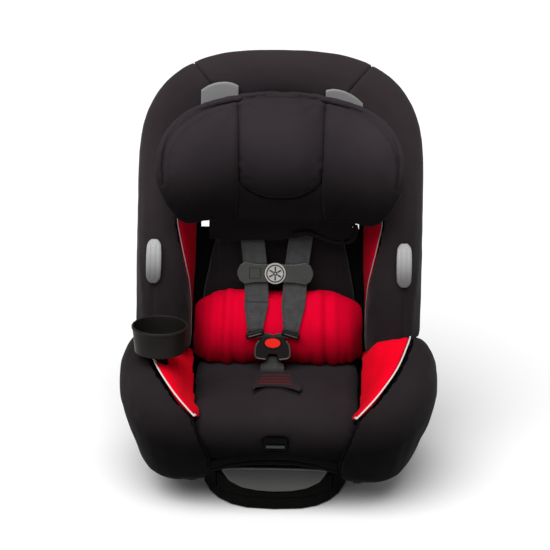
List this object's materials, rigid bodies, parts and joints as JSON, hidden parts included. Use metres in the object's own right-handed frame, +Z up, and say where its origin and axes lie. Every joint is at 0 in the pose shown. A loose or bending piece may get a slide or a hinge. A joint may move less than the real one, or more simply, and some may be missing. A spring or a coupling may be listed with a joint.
{
  "type": "convertible child car seat",
  "caption": "Reclining child car seat on a rocker base, with side wings, sliding headrest, five-point harness, chest clip and lift-off cup holder.",
  "frame": {"origin": "the base's flat underside, under the middle of the seat", "axes": "+Z up; -Y the way a seated child faces; +X to the right of someone who looks at the seat's front"},
  "size_m": [0.4944, 0.4614, 0.6287],
  "materials": {
    "adjuster_bezel": "grained black moulding",
    "adjuster_lever": "dark grey moulding",
    "adjuster_strap": "dark grey woven webbing",
    "back_pad": "black air-mesh fabric over foam",
    "base_frame": "grained black moulding",
    "base_rail_left": "dark grey moulding",
    "base_rail_right": "dark grey moulding",
    "belt_guide_side_left": "light grey moulding",
    "belt_guide_side_right": "light grey moulding",
    "belt_guide_top_left": "light grey moulding",
    "belt_guide_top_right": "light grey moulding",
    "buckle_button": "bright red moulding",
    "buckle_housing": "grained black moulding",
    "chest_clip_left": "mid grey moulding",
    "chest_clip_right": "mid grey moulding",
    "clip_button": "light grey moulding",
    "crotch_strap": "dark grey woven webbing",
    "cup_holder": "grained black moulding",
    "cup_socket": "grained black moulding",
    "handle_pin": "plated steel",
    "headrest_bib": "matt knitted black fabric over foam",
    "headrest_centre_pad": "black air-mesh fabric over foam",
    "headrest_latch": "plated steel",
    "headrest_lower_pad": "matt knitted black fabric over foam",
    "headrest_release": "dark grey moulding",
    "headrest_shell": "grained black moulding",
    "headrest_wing_left": "matt knitted black fabric over foam",
    "headrest_wing_right": "matt knitted black fabric over foam",
    "height_rack_left": "plated steel",
    "height_rack_right": "plated steel",
    "lumbar_pillow": "matt red fabric over foam",
    "notch_plate": "plated steel",
    "piping_left": "pale reflective piping",
    "piping_right": "pale reflective piping",
    "recline_bolt": "plated steel",
    "recline_handle": "dark grey moulding",
    "rocker_left": "grained black moulding",
    "rocker_right": "grained black moulding",
    "seat_cushion": "matt knitted black fabric over foam",
    "shell": "grained black moulding",
    "shoulder_strap_left_lower": "dark grey woven webbing",
    "shoulder_strap_left_middle": "dark grey woven webbing",
    "shoulder_strap_left_upper": "dark grey woven webbing",
    "shoulder_strap_right_lower": "dark grey woven webbing",
    "shoulder_strap_right_middle": "dark grey woven webbing",
    "shoulder_strap_right_upper": "dark grey woven webbing",
    "splitter_plate": "plated steel",
    "thigh_bolster_left": "matt knitted black fabric over foam",
    "thigh_bolster_right": "matt knitted black fabric over foam",
    "thigh_insert_left": "matt red fabric over foam",
    "thigh_insert_right": "matt red fabric over foam",
    "tongue_left": "plated steel",
    "tongue_right": "plated steel",
    "top_band": "matt knitted black fabric over foam",
    "torso_insert_left": "matt red fabric over foam",
    "torso_insert_right": "matt red fabric over foam",
    "torso_wing_left": "matt knitted black fabric over foam",
    "torso_wing_right": "matt knitted black fabric over foam"
  },
  "bodies": {
    "base": {"base_frame": "base_frame", "base_rail_left": "base_rail_left", "base_rail_right": "base_rail_right", "notch_plate": "notch_plate"},
    "seat": {"adjuster_bezel": "adjuster_bezel", "adjuster_strap": "adjuster_strap", "back_pad": "back_pad", "belt_guide_side_left": "belt_guide_side_left", "belt_guide_side_right": "belt_guide_side_right", "belt_guide_top_left": "belt_guide_top_left", "belt_guide_top_right": "belt_guide_top_right", "buckle_housing": "buckle_housing", "chest_clip_right": "chest_clip_right", "crotch_strap": "crotch_strap", "cup_socket": "cup_socket", "handle_pin": "handle_pin", "height_rack_left": "height_rack_left", "height_rack_right": "height_rack_right", "lumbar_pillow": "lumbar_pillow", "piping_left": "piping_left", "piping_right": "piping_right", "rocker_left": "rocker_left", "rocker_right": "rocker_right", "seat_cushion": "seat_cushion", "shell": "shell", "shoulder_strap_left_upper": "shoulder_strap_left_upper", "shoulder_strap_right_middle": "shoulder_strap_right_middle", "shoulder_strap_right_upper": "shoulder_strap_right_upper", "splitter_plate": "splitter_plate", "thigh_bolster_left": "thigh_bolster_left", "thigh_bolster_right": "thigh_bolster_right", "thigh_insert_left": "thigh_insert_left", "thigh_insert_right": "thigh_insert_right", "top_band": "top_band", "torso_insert_left": "torso_insert_left", "torso_insert_right": "torso_insert_right", "torso_wing_left": "torso_wing_left", "torso_wing_right": "torso_wing_right"},
    "headrest": {"headrest_shell": "headrest_shell", "headrest_wing_left": "headrest_wing_left", "headrest_wing_right": "headrest_wing_right", "headrest_centre_pad": "headrest_centre_pad", "headrest_lower_pad": "headrest_lower_pad", "headrest_bib": "headrest_bib"},
    "headrest_release": {"headrest_release": "headrest_release"},
    "headrest_latch": {"headrest_latch": "headrest_latch"},
    "recline_handle": {"recline_handle": "recline_handle"},
    "recline_bolt": {"recline_bolt": "recline_bolt"},
    "tongue_left": {"tongue_left": "tongue_left", "shoulder_strap_left_lower": "shoulder_strap_left_lower"},
    "tongue_right": {"tongue_right": "tongue_right", "shoulder_strap_right_lower": "shoulder_strap_right_lower"},
    "buckle_button": {"buckle_button": "buckle_button"},
    "chest_clip_left": {"chest_clip_left": "chest_clip_left", "shoulder_strap_left_middle": "shoulder_strap_left_middle"},
    "clip_button": {"clip_button": "clip_button"},
    "adjuster_lever": {"adjuster_lever": "adjuster_lever"},
    "cup_holder": {"cup_holder": "cup_holder"}
  },
  "joints": [
    {"name": "recline", "type": "hinge", "parent": "base", "child": "seat", "pos_m": [0, -0.02, 0.47], "axis": [-1, 0, 0], "range_deg": [0, 12]},
    {"name": "recline_handle_pull", "type": "hinge", "parent": "seat", "child": "recline_handle", "pos_m": [0, -0.203, 0.06], "axis": [-1, 0, 0], "range_deg": [0, 8], "stiffness_Nm_per_rad": 2},
    {"name": "recline_bolt_lift", "type": "slide", "parent": "seat", "child": "recline_bolt", "axis": [0, 0.2419, 0.9703], "range_m": [0, 0.0102]},
    {"name": "headrest_height", "type": "slide", "parent": "seat", "child": "headrest", "axis": [0, 0.2419, 0.9703], "range_m": [0, 0.12]},
    {"name": "headrest_release_squeeze", "type": "slide", "parent": "headrest", "child": "headrest_release", "axis": [0, 0.2419, 0.9703], "range_m": [0, 0.006], "stiffness_N_per_m": 600},
    {"name": "headrest_latch_draw", "type": "slide", "parent": "headrest", "child": "headrest_latch", "axis": [0, -0.9703, 0.2419], "range_m": [0, 0.0041]},
    {"name": "tongue_left_pull", "type": "slide", "parent": "seat", "child": "tongue_left", "axis": [0, 0.2924, 0.9563], "range_m": [0, 0.025], "deforming": ["shoulder_strap_left_lower"]},
    {"name": "tongue_right_pull", "type": "slide", "parent": "seat", "child": "tongue_right", "axis": [0, 0.2924, 0.9563], "range_m": [0, 0.025], "deforming": ["shoulder_strap_right_lower"]},
    {"name": "buckle_button_press", "type": "slide", "parent": "seat", "child": "buckle_button", "axis": [0, 0.9563, -0.2924], "range_m": [0, 0.004], "stiffness_N_per_m": 1200},
    {"name": "chest_clip_part", "type": "slide", "parent": "seat", "child": "chest_clip_left", "axis": [-1, 0, 0], "range_m": [0, 0.018], "deforming": ["shoulder_strap_left_middle"]},
    {"name": "clip_button_press", "type": "slide", "parent": "seat", "child": "clip_button", "axis": [0, 0.9703, -0.2419], "range_m": [0, 0.0025], "stiffness_N_per_m": 900},
    {"name": "adjuster_lever_press", "type": "hinge", "parent": "seat", "child": "adjuster_lever", "pos_m": [0.001, -0.25, 0.1147], "axis": [1, 0, 0], "range_deg": [0, 6], "stiffness_Nm_per_rad": 0.3},
    {"name": "cup_holder_lift", "type": "slide", "parent": "seat", "child": "cup_holder", "axis": [0, 0, 1], "range_m": [0, 0.06]}
  ],
  "couplings": [
    {"joint": "recline_bolt_lift", "follows": "recline_handle_pull", "m_per_rad": 0.072},
    {"joint": "headrest_latch_draw", "follows": "headrest_release_squeeze", "ratio": 0.6667}
  ]
}
